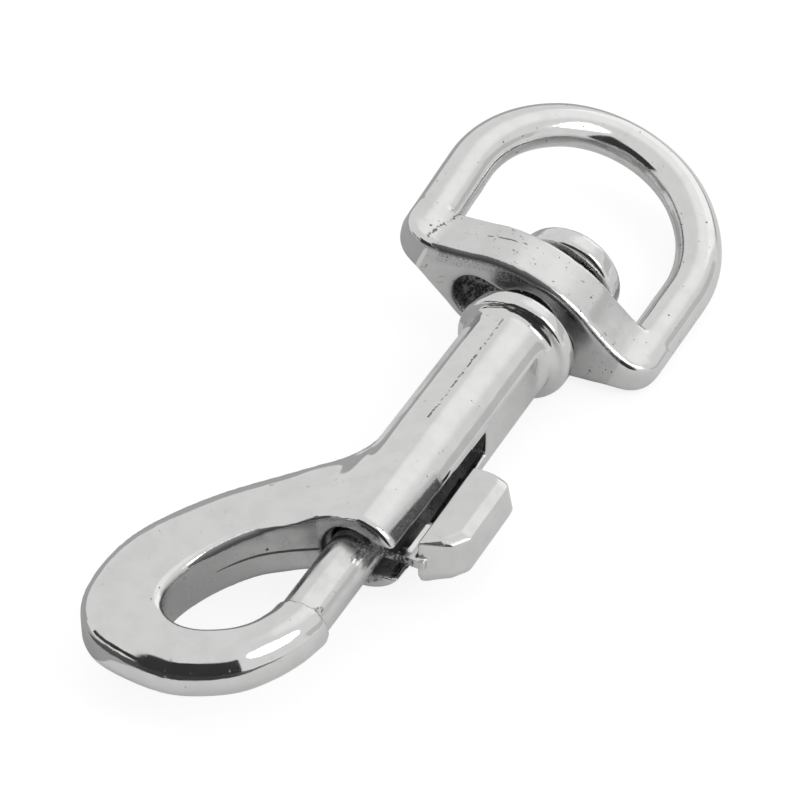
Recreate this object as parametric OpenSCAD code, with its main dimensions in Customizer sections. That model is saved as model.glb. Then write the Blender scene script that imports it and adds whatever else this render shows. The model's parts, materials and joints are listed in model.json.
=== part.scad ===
// Swivel snap hook, nickel-plated die-cast zinc.
// The part lies flat. Barrel axis along X, the swivel eye towards +X, the hook
// towards -X with its closed back on the +Y side, the thumb lever on the -Y side.
// Drawn about the barrel axis, with the ring-side face of the collar at x = 0,
// then moved so that the origin is the middle of the bounding box, on the floor.

/* [Hook] */
// Half thickness of the hook's flat loop
hook_half_t = 2.5; // [2:0.05:3.2]
// Edge rounding on the outer front of the loop
front_round = 2.0; // [0.8:0.1:2.2]
// Edge rounding on the back of the loop and round the eye
back_round = 0.7; // [0.3:0.05:1.2]
// Radius of the round hook tip
tip_r = 2.5; // [2.3:0.05:2.8]
// End face of the hook tip, from the collar face
tip_x = -40.7; // [-43:0.1:-38]

/* [Barrel] */
// Outer radius of the barrel
barrel_r = 4.5; // [4:0.05:5]
// Open end of the barrel, from the collar face
mouth_x = -31.6; // [-33:0.1:-30]
// Half width over the two side flats
flat_y = 3.87; // [3.4:0.01:4.2]
// Where the side flats run out before the collar
flat_end_x = -3.6; // [-6:0.1:-2.5]
// Radius of the bolt bore
bore_r = 2.36; // [2.3:0.01:2.7]
// Closed end of the bolt bore
bore_end_x = -6.0; // [-9:0.1:-4]
// Half height of the lever slot
slot_half_h = 1.15; // [0.9:0.05:1.6]
// Closed end of the lever slot
slot_end_x = -13.7; // [-15:0.1:-12]

/* [Collar, neck and head] */
// Collar radius
collar_r = 5.55; // [5.2:0.05:6.4]
// Collar thickness
collar_t = 2.0; // [1.5:0.05:3]
// Neck radius
neck_r = 2.2; // [1.8:0.05:2.8]
// Head radius
head_r = 5.15; // [4.6:0.05:5.8]
// Head thickness
head_t = 2.3; // [1.6:0.05:3.2]
// Overall length from collar face to the end of the head
head_end_x = 11.0; // [9.5:0.1:12]

/* [Bolt] */
// Bolt radius
bolt_r = 2.24; // [2:0.01:2.4]
// Radius of the seat for the bolt nose in the tip
seat_r = 2.27; // [2.25:0.01:2.4]
// Nose of the bolt, seated in the tip
nose_x = -41.2; // [-42:0.1:-40.8]
// Rear end of the bolt, against the spring
bolt_rear_x = -21.0; // [-24:0.1:-19]
// Half thickness of the web between bolt and lever
web_half_t = 0.5; // [0.4:0.05:1]
// Front end of the web
web_front_x = -30.2; // [-31:0.1:-29]
// Rear end of the web
web_rear_x = -25.4; // [-27:0.1:-24]
// Front end of the thumb lever
lever_front_x = -30.0; // [-31:0.1:-28]
// Rear end of the thumb lever
lever_rear_x = -18.7; // [-21:0.1:-18]
// Inner face of the thumb lever, from the axis
lever_in_y = 5.3; // [4.9:0.05:6]
// Outer face of the thumb lever, from the axis
lever_out_y = 8.95; // [7:0.05:9.5]
// Half height of the thumb lever
lever_half_h = 2.35; // [1.8:0.05:3]

/* [Spring] */
// Spring wire radius
wire_r = 0.25; // [0.15:0.01:0.35]
// Mean coil radius
coil_r = 1.85; // [1.4:0.05:2]
// Number of turns
turns = 9; // [6:1:12]

/* [Swivel eye] */
// Half width of the bar, in the plane of the eye
bar_w = 2.2; // [1.8:0.05:2.6]
// Half height of the bar
bar_h = 1.85; // [1.5:0.05:2.4]
// Radius of the domed top and bottom of the bar
dome_r = 2.5; // [2.45:0.05:3]
// Half width of the eye, to the middle of the bar
eye_w = 11.7; // [10:0.1:13]
// Where the arms meet the bow
bow_x = 16.0; // [13:0.1:18]
// Shoulder radius of the bow
shoulder_r = 14.5; // [12:0.1:17]
// Angle turned by each shoulder
shoulder_a = 47.8; // [30:0.1:60]
// Outward lean of the arms
flare = 1.87; // [0:0.01:4]
// Front face of the crossbar
cross_front_x = 2.75; // [2:0.05:4]
// Rear face of the crossbar
cross_rear_x = 8.0; // [7:0.05:8.1]
// Outer corner radius of the crossbar
corner_r = 3.2; // [2:0.1:4]
// Where the arms start, inside the crossbar
arm_start_x = 6.3; // [6:0.1:7.5]
// Half height of the boss in the middle of the crossbar
boss_h = 4.8; // [3.8:0.05:5.5]
// Radius of the neck hole
hole_r = 3.1; // [3:0.05:3.6]
// How far the neck hole stands off the middle of the crossbar
hole_off = 0.7; // [0.5:0.05:1]
// Half length of the pocket in the crossbar's front face
pocket_half_l = 6.2; // [5:0.1:6.6]
// Half height of the pocket
pocket_half_h = 2.4; // [2:0.05:2.7]
// Depth of the pocket
pocket_depth = 1.7; // [1:0.05:2.5]
// Roll of the eye about the barrel axis as it lies
eye_roll = 20.5; // [-180:0.1:180]
// Sideways play taken up by the loose eye as it lies
eye_shift = 1.25; // [0:0.05:1.3]
// Swing of the loose eye in its own plane as it lies
eye_yaw = 1.9; // [0:0.1:3]

/* [Hidden] */
$fn = 72;
eps = 0.01;
// Easing of small turned edges, and of the barrel's lip and collar fillet.
ease = 0.3;
lip = 0.45;
metal = [0.80, 0.80, 0.79];

// Uniform Catmull-Rom curve through a closed list of points.
function wrap(i, n) = (i + n) % n;
function cr(a, b, c, d, t) =
    0.5 * (2 * b + (c - a) * t + (2 * a - 5 * b + 4 * c - d) * t * t
    + (3 * b - a - 3 * c + d) * t * t * t);
// Open curve through p, ends repeated, m steps a span.
function curve(p, m) = let (n = len(p)) concat(
    [for (i = [0 : n - 2]) for (k = [0 : m - 1])
        cr(p[max(i - 1, 0)], p[i], p[i + 1], p[min(i + 2, n - 1)], k / m)],
    [p[n - 1]]);
function unit2(v) = v / max(norm(v), 1e-6);
// Outward normal at point i of a closed outline that runs anticlockwise.
function out_n(p, i) = let (n = len(p),
    a = unit2(p[i] - p[wrap(i - 1, n)]), b = unit2(p[wrap(i + 1, n)] - p[i]),
    t = unit2(a + b)) [t[1], -t[0]];

// Plan of the loop, seen from above.
// The arm runs from the barrel to the shoulder of the loop, with square edges.
arm_outer = [[-19.0, 3.8], [-21.3, 4.5], [-23.1, 5.55], [-27.6, 9.15], [-32.1, 12.7], [-34.2, 14.0]];
arm_inner = [[-37.4, 8.9], [-35.1, 7.6], [-33.15, 5.65], [-31.8, 3.7], [-30.6, 1.9], [-28.8, 0.3]];
arm_plan = concat(curve(arm_outer, 3), curve(arm_inner, 3));
// The nose of the loop is lofted over ribs across it, from the shoulder round to
// the tip: [outer x, outer y, inner x, inner y, outer rounding, inner rounding].
ribs = [
    [-32.1, 12.75, -35.1, 7.55, back_round, back_round],
    [-35.75, 15.05, -38.0, 9.15, back_round, back_round],
    [-39.6, 16.65, -41.0, 10.3, back_round, back_round],
    [-43.8, 17.25, -43.6, 10.65, back_round, back_round],
    [-47.95, 16.6, -45.5, 10.15, 0.9, back_round],
    [-50.95, 14.25, -46.6, 9.05, 1.4, back_round],
    [-52.05, 10.4, -47.0, 7.65, 1.9, back_round],
    [-51.9, 6.65, -46.8, 6.2, front_round, 0.8],
    [-50.8, 3.7, -46.05, 4.75, front_round, 1.0],
    [-48.85, 1.15, -45.0, 3.6, front_round, 1.2],
    [-46.45, -0.75, -43.8, 2.95, front_round, 1.5],
    [-43.85, -1.95, -42.5, 2.6, front_round, 1.8],
    [tip_x, -tip_r, tip_x, tip_r, front_round, front_round]];
nose_out = curve([for (r = ribs) [r[0], r[1], r[4]]], 3);
nose_in = curve([for (r = ribs) [r[2], r[3], r[5]]], 3);
nose_plan = concat(nose_out, [for (i = [len(nose_in) - 1 : -1 : 0]) nose_in[i]]);
nose_xy = [for (p = nose_plan) [p[0], p[1]]];
levels = [-1, -0.9, -0.65, -0.25, 0.25, 0.65, 0.9, 1];

// How far in from the outline the surface lies at height z for edge rounding r.
function inset(z, r) = let (d = max(0, abs(z) - (hook_half_t - r)))
    r - sqrt(max(0, r * r - d * d));
function level_z(k) = levels[k] * hook_half_t;

module nose_solid() {
    n = len(nose_plan);
    m = len(levels);
    pts = [for (k = [0 : m - 1]) for (i = [0 : n - 1])
        let (q = out_n(nose_xy, i), d = inset(level_z(k), nose_plan[i][2]))
        [nose_xy[i][0] - q[0] * d, nose_xy[i][1] - q[1] * d, level_z(k)]];
    sides = [for (k = [0 : m - 2]) for (i = [0 : n - 1]) for (h = [0, 1])
        let (j = (i + 1) % n, a = k * n + i, b = k * n + j, c = a + n, d = b + n)
        h == 0 ? [a, c, b] : [b, c, d]];
    // The flat faces are strips of quads between neighbouring ribs.
    base = (m - 1) * n;
    flats = [for (i = [0 : len(nose_out) - 2]) for (h = [0, 1])
        let (o = i, p = i + 1, q = n - 2 - i, r = n - 1 - i)
        h == 0 ? [o, p, q, r] : [base + r, base + q, base + p, base + o]];
    polyhedron(points = pts, faces = concat(sides, flats), convexity = 8);
}

module loop_solid() {
    nose_solid();
    translate([0, 0, -hook_half_t + eps]) linear_extrude(2 * hook_half_t - 2 * eps) polygon(arm_plan);
}

// A turned solid about the X axis from a profile of [x, r] points.
module turned(profile) {
    rotate([90, 0, 90]) rotate_extrude() polygon([for (p = profile) [p[1], p[0]]]);
}

module rod(x0, x1, r) {
    translate([x0, 0, 0]) rotate([0, 90, 0]) cylinder(h = x1 - x0, r = r);
}

// Side flats of the barrel, with scooped ends before the collar.
module side_flats() {
    for (s = [-1, 1]) {
        translate([mouth_x - 1, s > 0 ? flat_y : -flat_y - 4, -6])
            cube([flat_end_x - 0.9 - mouth_x + 1, 4, 12]);
        translate([flat_end_x - 0.9, s * (flat_y + 1.6), -6]) cylinder(h = 12, r = 1.6);
    }
}

// Long shallow facets on the back of the barrel, above and below.
module back_facets() {
    for (s = [-1, 1]) rotate([s * -17, 0, 0])
        translate([mouth_x - 1, -4, s > 0 ? barrel_r - 0.16 : -barrel_r - 2 + 0.16])
            cube([flat_end_x - mouth_x - 0.6, 8, 2]);
}

module body_casting() {
    color(metal) difference() {
        union() {
            loop_solid();
            difference() {
                turned([[mouth_x, 0], [mouth_x, barrel_r - lip], [mouth_x + lip, barrel_r],
                    [-collar_t - lip, barrel_r], [-collar_t, barrel_r + lip],
                    [-collar_t, collar_r - ease], [-collar_t + ease, collar_r],
                    [-ease, collar_r], [0, collar_r - ease], [0, 0]]);
                side_flats();
                back_facets();
            }
            // Neck and the head that keeps the eye on.
            turned([[-0.5, 0], [-0.5, neck_r], [head_end_x - head_t, neck_r],
                [head_end_x - head_t, head_r - ease], [head_end_x - head_t + ease, head_r],
                [head_end_x - 0.5, head_r], [head_end_x - 0.15, head_r - 0.15],
                [head_end_x, head_r - 0.5], [head_end_x, 0]]);
        }
        // Way of the bolt: seat in the tip, then the bore with its drilled point.
        turned([[nose_x - 0.02, 0], [nose_x - 0.02, seat_r], [tip_x + 0.6, seat_r],
            [tip_x + 0.6, bore_r], [bore_end_x, bore_r], [bore_end_x + 1.2, 0]]);
        // Lever slot, open at the mouth.
        translate([tip_x + 3, -collar_r - 1, -slot_half_h])
            cube([slot_end_x - tip_x - 3, collar_r + 1, 2 * slot_half_h]);
    }
}

module lever_plan() {
    difference() {
        translate([lever_front_x, -lever_out_y])
            square([lever_rear_x - lever_front_x, lever_out_y - lever_in_y]);
        // Oblique front corner and eased rear corner.
        translate([lever_front_x, -lever_out_y]) rotate(-45) translate([-3, -2]) square([6, 3.8]);
        translate([lever_rear_x, -lever_out_y]) rotate(45) translate([-3, -2]) square([6, 2.6]);
    }
}

module bolt() {
    color(metal) union() {
        turned([[nose_x, 0], [nose_x, bolt_r - ease], [nose_x + ease, bolt_r],
            [bolt_rear_x - ease, bolt_r], [bolt_rear_x, bolt_r - ease], [bolt_rear_x, 0]]);
        // Spring pilot.
        rod(bolt_rear_x - 0.5, bolt_rear_x + 1.6, 1.35);
        // Web through the slot.
        translate([web_front_x, -lever_in_y - 0.6, -web_half_t])
            cube([web_rear_x - web_front_x, lever_in_y + 0.6, 2 * web_half_t]);
        // Thumb lever with eased edges.
        intersection() {
            translate([0, 0, -lever_half_h]) linear_extrude(2 * lever_half_h) lever_plan();
            translate([lever_front_x - 1, 0, 0]) rotate([90, 0, 90])
                linear_extrude(lever_rear_x - lever_front_x + 2) polygon([
                    [-lever_in_y + 1, -lever_half_h - 1], [-lever_in_y + 1, lever_half_h + 1],
                    [-lever_in_y - 0.0, lever_half_h + 0.3], [-lever_in_y - 0.3, lever_half_h],
                    [-lever_out_y + 0.8, lever_half_h], [-lever_out_y + 0.2, lever_half_h - 0.35],
                    [-lever_out_y, lever_half_h - 0.9], [-lever_out_y, -lever_half_h + 0.9],
                    [-lever_out_y + 0.2, -lever_half_h + 0.35], [-lever_out_y + 0.8, -lever_half_h],
                    [-lever_in_y - 0.3, -lever_half_h], [-lever_in_y, -lever_half_h - 0.3]]);
        }
    }
}

// Helix of wire between the bolt and the end of the bore, ends pitched flat.
spring_x0 = bolt_rear_x + wire_r + 0.05;
spring_x1 = bore_end_x - wire_r - 0.05;
module spring() {
    steps = 20;
    sides = 8;
    n = turns * steps;
    pts = [for (i = [0 : n]) for (j = [0 : sides - 1])
        let (a = 360 * i / steps, b = 360 * j / sides, r = coil_r + wire_r * cos(b))
        [spring_x0 + (spring_x1 - spring_x0) * i / n + wire_r * sin(b), r * cos(a), r * sin(a)]];
    sides_f = [for (i = [0 : n - 1]) for (j = [0 : sides - 1]) for (h = [0, 1])
        let (k = (j + 1) % sides, a = i * sides + j, b = i * sides + k, c = a + sides, d = b + sides)
        h == 0 ? [a, b, c] : [b, d, c]];
    ends = [[for (j = [sides - 1 : -1 : 0]) j], [for (j = [0 : sides - 1]) n * sides + j]];
    color([0.72, 0.73, 0.74]) polyhedron(points = pts, faces = concat(sides_f, ends), convexity = 10);
}

// Section of the bar: a dome above and below, flat lands at the sides. The
// pieces of the bow overlap, one drawn a shade thinner than the next.
module bar_section(thinner = 0) {
    intersection() {
        square([2 * (bar_w - thinner), 2 * (bar_h - thinner)], center = true);
        circle(r = dome_r - thinner);
    }
}

// Upper half of the bow: arm, shoulder arc and end arc, drawn exactly.
th2 = flare - shoulder_a;
c1 = [bow_x + shoulder_r * sin(flare), eye_w - shoulder_r * cos(flare)];
p2 = c1 + shoulder_r * [-sin(th2), cos(th2)];
end_r = p2[1] / cos(th2);
c2x = p2[0] + end_r * sin(th2);
module half_bow() {
    translate([bow_x, eye_w, 0]) rotate([0, 0, flare]) rotate([0, -90, 0])
        translate([0, 0, -0.3]) linear_extrude(bow_x - arm_start_x + 0.3) rotate(90) bar_section(eps);
    translate([c1[0], c1[1], 0]) rotate([0, 0, 90 + flare - shoulder_a])
        rotate_extrude(angle = shoulder_a) translate([shoulder_r, 0]) bar_section();
    translate([c2x, 0, 0]) rotate([0, 0, -0.5])
        rotate_extrude(angle = 91 + th2 + 0.5) translate([end_r, 0]) bar_section(eps);
}

// Crossbar: the plan, the side outline and the end outline, each extruded.
out_w = eye_w + bar_w - 0.33;
module crossbar_plan() {
    translate([cross_front_x, -out_w + corner_r])
        square([cross_rear_x - cross_front_x, 2 * (out_w - corner_r)]);
    for (s = [-1, 1]) {
        translate([cross_front_x + corner_r, s * (out_w - corner_r)]) circle(r = corner_r);
        translate([cross_front_x + corner_r, s > 0 ? out_w - corner_r : -out_w])
            square([cross_rear_x - cross_front_x - corner_r, corner_r]);
    }
}
// Low ends with eased outer edges, rising to the boss in the middle.
crossbar_half = [[out_w, 0.9], [out_w - 0.5, bar_h - 0.35], [out_w - 1.5, bar_h - 0.02],
    [9.4, bar_h - 0.02], [7.8, bar_h + 0.35], [6.4, bar_h + 1.05], [4.9, boss_h - 0.75],
    [3.6, boss_h - 0.15], [2.4, boss_h]];
module crossbar() {
    n = len(crossbar_half);
    back = [for (i = [n - 1 : -1 : 0]) crossbar_half[i]];
    intersection() {
        translate([0, 0, -boss_h - 1]) linear_extrude(2 * boss_h + 2) crossbar_plan();
        translate([cross_front_x - 1, 0, 0]) rotate([90, 0, 90])
            linear_extrude(cross_rear_x - cross_front_x + 2) polygon(concat(
                crossbar_half, [for (p = back) [-p[0], p[1]]],
                [for (p = crossbar_half) [-p[0], -p[1]]], [for (p = back) [p[0], -p[1]]]));
        // Eased front and rear edges of the boss.
        translate([0, 15, 0]) rotate([90, 0, 0]) linear_extrude(30) polygon([
            [cross_front_x, -boss_h + 0.5], [cross_front_x + 0.5, -boss_h],
            [cross_rear_x - 0.5, -boss_h], [cross_rear_x, -boss_h + 0.5],
            [cross_rear_x, boss_h - 0.5], [cross_rear_x - 0.5, boss_h],
            [cross_front_x + 0.5, boss_h], [cross_front_x, boss_h - 0.5]]);
    }
}

// The pocket is a slot with round ends, a little below and beside the middle.
pocket_side = 0.3;
pocket_drop = 0.95;
module pocket_outline() {
    straight = pocket_half_l - pocket_half_h;
    square([2 * straight, 2 * pocket_half_h], center = true);
    for (s = [-1, 1]) translate([s * straight, 0]) circle(r = pocket_half_h);
}

module swivel_eye() {
    color(metal) rotate([eye_roll, 0, 0]) difference() {
        translate([6, 0, 0]) rotate([0, 0, eye_yaw]) translate([-6, eye_shift, 0]) difference() {
            union() {
                half_bow();
                mirror([0, 1, 0]) half_bow();
                crossbar();
            }
            // Neck hole and the long pocket in the front face.
            translate([0, -hole_off, 0]) rod(cross_front_x - 1, cross_rear_x + 1, hole_r);
            translate([cross_front_x - 1, pocket_side, -pocket_drop]) rotate([90, 0, 90])
                linear_extrude(pocket_depth + 1) pocket_outline();
        }
    }
}

// From the collar face on the barrel axis to the middle of the bounding box, on the floor.
mid_x = (min([for (p = nose_xy) p[0]]) + c2x + end_r + bar_w) / 2;
mid_y = 2.65;
floor_z = 5.862;
module place() {
    translate([-mid_x, -mid_y, floor_z]) children();
}

place() body_casting();
place() bolt();
place() spring();
place() swivel_eye();
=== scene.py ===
"""Swivel snap hook: the visible castings, their plating and a small studio, round the fixed frame.

Every casting is modelled in millimetres about the barrel axis, with x = 0 on the collar's ring-side
face, +x towards the swivel eye, +y towards the closed back of the hook and +z up. It is brought into
the row frame, in metres, when it is finished.
"""

import json
import logging
import math
from dataclasses import dataclass
from enum import Enum
from typing import Callable, Sequence

import bmesh
import bpy
import numpy as np
from bmesh.types import BMEdge, BMesh, BMVert
from bpy.types import Material, Node, NodeSocket, NodeTree, Object
from mathutils import Matrix, Vector


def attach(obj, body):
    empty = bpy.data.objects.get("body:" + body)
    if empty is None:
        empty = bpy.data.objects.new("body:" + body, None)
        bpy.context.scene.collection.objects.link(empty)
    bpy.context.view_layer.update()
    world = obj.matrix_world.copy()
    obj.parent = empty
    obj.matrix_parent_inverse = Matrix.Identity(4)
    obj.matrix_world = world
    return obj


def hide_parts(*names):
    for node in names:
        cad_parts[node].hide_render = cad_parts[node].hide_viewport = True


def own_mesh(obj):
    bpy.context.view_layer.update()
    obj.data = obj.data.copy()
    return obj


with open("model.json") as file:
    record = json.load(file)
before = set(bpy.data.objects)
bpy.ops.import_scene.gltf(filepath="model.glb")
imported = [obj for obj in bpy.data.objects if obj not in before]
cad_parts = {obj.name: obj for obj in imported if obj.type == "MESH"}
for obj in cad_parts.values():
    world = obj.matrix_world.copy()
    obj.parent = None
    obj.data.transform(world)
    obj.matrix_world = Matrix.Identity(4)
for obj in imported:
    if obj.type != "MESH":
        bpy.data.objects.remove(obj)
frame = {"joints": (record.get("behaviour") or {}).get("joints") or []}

LOG = logging.getLogger("snap_hook")
MM = 0.001

Point2 = tuple[float, float]
Shares = tuple[np.ndarray, np.ndarray, np.ndarray]
# What every vertex of a casting carries for its finish: how far it is left as cast, in places partly painted
# shade, how speckled it is, and how near a dark line, in places a painted dark reflection.
MARKS = ("as_cast_and_shade", "speckle", "lines_and_painted_reflections")


# ---------------------------------------------------------------- shaping


def blend(low: float, high: float, at: float) -> float:
    """Smooth step of `at` from 0 at `low` to 1 at `high`."""
    t = min(max((at - low) / (high - low), 0.0), 1.0)
    return t * t * (3.0 - 2.0 * t)


def curve_at(p: float, q: float, r: float, s: float, t: float) -> float:
    """A smooth curve from q to r, shaped by its neighbours p and s, at `t` from 0 to 1."""
    square, cube = (2 * p - 5 * q + 4 * r - s) * t**2, (3 * q - p - 3 * r + s) * t**3
    return 0.5 * (2 * q + (r - p) * t + square + cube)


def through(points: Sequence[Sequence[float]], steps: int) -> list[list[float]]:
    """A smooth open curve through points of any number of coordinates.

    Args:
        points: the points it passes through, in order.
        steps: how many pieces each span is cut into.

    Returns:
        The points along the curve, both ends included.
    """
    last = len(points) - 1
    made = []
    for i in range(last):
        near = [points[min(max(j, 0), last)] for j in (i - 1, i, i + 1, i + 2)]
        made += [[curve_at(*values, k / steps) for values in zip(*near)] for k in range(steps)]
    made.append(list(points[last]))
    return made


def rounded_box(
    count: int, half_w: float, half_h: float, corners: Sequence[Sequence[float]]
) -> list[Point2]:
    """The outline of a box with eased corners, anticlockwise from the middle right.

    Args:
        count: number of points, a multiple of four.
        half_w: half width.
        half_h: half height.
        corners: how wide, how high and how flat each corner is, from the top right anticlockwise;
            flatness is 0 for a round corner and 1 for a bevel.

    Returns:
        The points, each as (across, up).
    """
    per = count // 4
    outline = []
    for corner, (wide, high, flat) in enumerate(corners):
        side = 1 if corner in (0, 3) else -1
        top = 1 if corner < 2 else -1
        wide, high = min(wide, half_w), min(high, half_h)
        centre = (side * (half_w - wide), top * (half_h - high))
        arc = []
        for k in range(per):
            angle = math.radians(90 * corner + 90 * k / (per - 1))
            arc.append((centre[0] + wide * math.cos(angle), centre[1] + high * math.sin(angle)))
        for k, point in enumerate(arc):
            t = k / (per - 1)
            chord = [start + (end - start) * t for start, end in zip(arc[0], arc[-1])]
            outline.append(tuple(a + (b - a) * flat for a, b in zip(point, chord)))
    return outline


def rounded_polygon(corners: Sequence[Sequence[float]], per: int) -> list[Point2]:
    """The outline of a convex polygon with round corners.

    Args:
        corners: x, y and rounding of each corner, in order.
        per: points to each corner.

    Returns:
        The points.
    """
    outline = []
    for i, (x, y, radius) in enumerate(corners):
        here = Vector((x, y))
        before = (Vector(corners[i - 1][:2]) - here).normalized()
        after = (Vector(corners[(i + 1) % len(corners)][:2]) - here).normalized()
        half = before.angle(after) / 2
        reach = radius / math.tan(half)
        start, end = here + before * reach, here + after * reach
        for k in range(per):
            t = k / (per - 1)
            # A quadratic curve that meets both sides squarely.
            point = start * (1 - t) ** 2 + here * 2 * t * (1 - t) + end * t**2
            outline.append((point.x, point.y))
    return outline


class Loft:
    """A closed skin drawn over stations, by extruding a ring of edges from each to the next."""

    def __init__(self, count: int) -> None:
        """Starts an empty skin.

        Args:
            count: how many points each ring has.
        """
        self.bm = bmesh.new()
        self.slot = self.bm.verts.layers.int.new("slot")
        ring = bmesh.ops.create_circle(self.bm, cap_ends=False, segments=count, radius=1.0)["verts"]
        for index, vert in enumerate(ring):
            vert[self.slot] = index
        self.ring = list(ring)
        self.edges = list(self.bm.edges)
        self.stations = 0

    def station(self, points: Sequence[Sequence[float]]) -> None:
        """Draws the skin on to the next station's ring of points.

        Args:
            points: where each point of the ring goes, in order.
        """
        if self.stations:
            made = bmesh.ops.extrude_edge_only(self.bm, edges=self.edges)["geom"]
            self.ring = [g for g in made if isinstance(g, BMVert)]
            self.edges = [g for g in made if isinstance(g, BMEdge) and g.is_boundary]
        else:
            bmesh.ops.contextual_create(self.bm, geom=self.edges)
        for vert in self.ring:
            vert.co = points[vert[self.slot]]
        self.stations += 1

    def close(self) -> BMesh:
        """Caps the last station and returns the shell, faces outwards.

        Returns:
            The closed shell.
        """
        bmesh.ops.contextual_create(self.bm, geom=self.edges)
        bmesh.ops.recalc_face_normals(self.bm, faces=self.bm.faces)
        return self.bm


def chain(bm: BMesh, points: Sequence[Sequence[float]]) -> list[BMVert | BMEdge]:
    """Adds a chain of edges through the points and returns its parts."""
    verts = [bm.verts.new(point) for point in points]
    return verts + [bm.edges.new(pair) for pair in zip(verts, verts[1:])]


def turned(profile: Sequence[Point2], steps: int = 96) -> BMesh:
    """A solid turned about the x axis.

    Args:
        profile: (x, radius) points from one end to the other, both on the axis.
        steps: how many faces it has round the axis.

    Returns:
        The closed shell.
    """
    bm = bmesh.new()
    line = chain(bm, [(x, 0.0, r) for x, r in profile])
    bmesh.ops.spin(
        bm, geom=line, cent=(0, 0, 0), axis=(1, 0, 0), angle=math.tau, steps=steps, use_merge=True
    )
    bmesh.ops.remove_doubles(bm, verts=bm.verts, dist=1e-4)
    bmesh.ops.recalc_face_normals(bm, faces=bm.faces)
    return bm


def rod(start: float, end: float, radius: float, steps: int = 96) -> BMesh:
    """A round rod along the x axis."""
    return turned([(start, 0.0), (start, radius), (end, radius), (end, 0.0)], steps)


def block(low: Sequence[float], high: Sequence[float]) -> BMesh:
    """A square block between two opposite corners.

    Args:
        low: the corner with the lowest coordinates.
        high: the opposite corner.

    Returns:
        The shell.
    """
    bm = bmesh.new()
    low_v, high_v = Vector(low), Vector(high)
    place = Matrix.Translation((low_v + high_v) / 2) @ Matrix.Diagonal((*(high_v - low_v), 1.0))
    bmesh.ops.create_cube(bm, size=1.0, matrix=place)
    return bm


def swept_arc(
    centre: Point2, radius: float, start: float, end: float, steps: int
) -> list[tuple[Point2, float]]:
    """Places along an arc in plan, each with the direction that points away from its centre.

    Args:
        centre: the centre of the arc.
        radius: its radius.
        start: the angle it starts at, in radians.
        end: the angle it ends at.
        steps: how many pieces it is cut into.

    Returns:
        The places, each as a point and an angle.
    """
    places = []
    for k in range(steps + 1):
        angle = start + (end - start) * k / steps
        places.append(((centre[0] + radius * math.cos(angle), centre[1] + radius * math.sin(angle)), angle))
    return places


def linked(name: str, data: bpy.types.ID) -> Object:
    """A new object in the scene.

    Args:
        name: its name.
        data: the mesh, camera or light it shows.

    Returns:
        The object.
    """
    obj = bpy.data.objects.new(name, data)
    bpy.context.scene.collection.objects.link(obj)
    return obj


def object_of(bm: BMesh, name: str) -> Object:
    """A new object that takes over a shell.

    Args:
        bm: the shell, which is freed.
        name: its name.

    Returns:
        The object.
    """
    mesh = bpy.data.meshes.new(name)
    bm.to_mesh(mesh)
    bm.free()
    return linked(name, mesh)


def shade_smooth(obj: Object) -> None:
    """Shades every face smooth."""
    obj.data.polygons.foreach_set("use_smooth", [True] * len(obj.data.polygons))


class Foundry:
    """Makes one casting out of overlapping shells, with the soft edges that casting and plating leave."""

    def __init__(self, name: str, grain: float) -> None:
        """Starts an empty casting.

        Args:
            name: its name.
            grain: the size of the mesh it is poured at, in millimetres.
        """
        self.name = name
        self.grain = grain
        self.shells: list[BMesh] = []
        self.cuts: list[BMesh] = []

    def add(self, *shells: BMesh) -> None:
        """Adds metal."""
        self.shells.extend(shells)

    def cut(self, *cutters: BMesh) -> None:
        """Takes metal away, once the shells are one."""
        self.cuts.extend(cutters)

    @staticmethod
    def _settle(obj: Object) -> None:
        """Applies the object's modifiers to its mesh.

        Args:
            obj: the object.
        """
        bpy.context.view_layer.update()
        graph = bpy.context.evaluated_depsgraph_get()
        made = bpy.data.meshes.new_from_object(obj.evaluated_get(graph))
        obj.modifiers.clear()
        old, obj.data = obj.data, made
        bpy.data.meshes.remove(old)

    def _remesh(self, obj: Object) -> None:
        """Fuses what overlaps into one even skin.

        Args:
            obj: the object.
        """
        fuse = obj.modifiers.new("fuse", "REMESH")
        fuse.mode = "VOXEL"
        fuse.voxel_size = self.grain
        self._settle(obj)

    def pour(
        self, edges: int = 4, fillet: Callable[[Vector], float] | None = None, fillet_steps: int = 0
    ) -> Object:
        """Fuses, cuts and softens the casting.

        Args:
            edges: passes of softening over the whole skin.
            fillet: how much of the extra softening a point takes, from 0 to 1.
            fillet_steps: passes of that extra softening.

        Returns:
            The casting, in millimetres about the barrel axis.
        """
        whole = bmesh.new()
        for number, shell in enumerate(self.shells):
            part = bpy.data.meshes.new(f"{self.name}_shell_{number}")
            shell.to_mesh(part)
            shell.free()
            whole.from_mesh(part)
            bpy.data.meshes.remove(part)
        casting = object_of(whole, self.name)
        self._remesh(casting)
        for number, cutter in enumerate(self.cuts):
            tool = object_of(cutter, f"{self.name}_cutter_{number}")
            drill = casting.modifiers.new("drill", "BOOLEAN")
            drill.operation, drill.solver, drill.object = "DIFFERENCE", "EXACT", tool
            self._settle(casting)
            bpy.data.objects.remove(tool)
        if self.cuts:
            self._remesh(casting)
        if fillet is not None and fillet_steps:
            group = casting.vertex_groups.new(name="fillet")
            for vert in casting.data.vertices:
                weight = fillet(vert.co)
                if weight > 0:
                    group.add([vert.index], weight, "REPLACE")
            for number in range(0, fillet_steps, 30):
                soften = casting.modifiers.new(f"fillet_{number}", "SMOOTH")
                soften.factor, soften.iterations, soften.vertex_group = 0.5, 30, group.name
        soften = casting.modifiers.new("edges", "SMOOTH")
        soften.factor, soften.iterations = 0.5, edges
        self._settle(casting)
        casting.vertex_groups.clear()
        shade_smooth(casting)
        return casting


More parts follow.
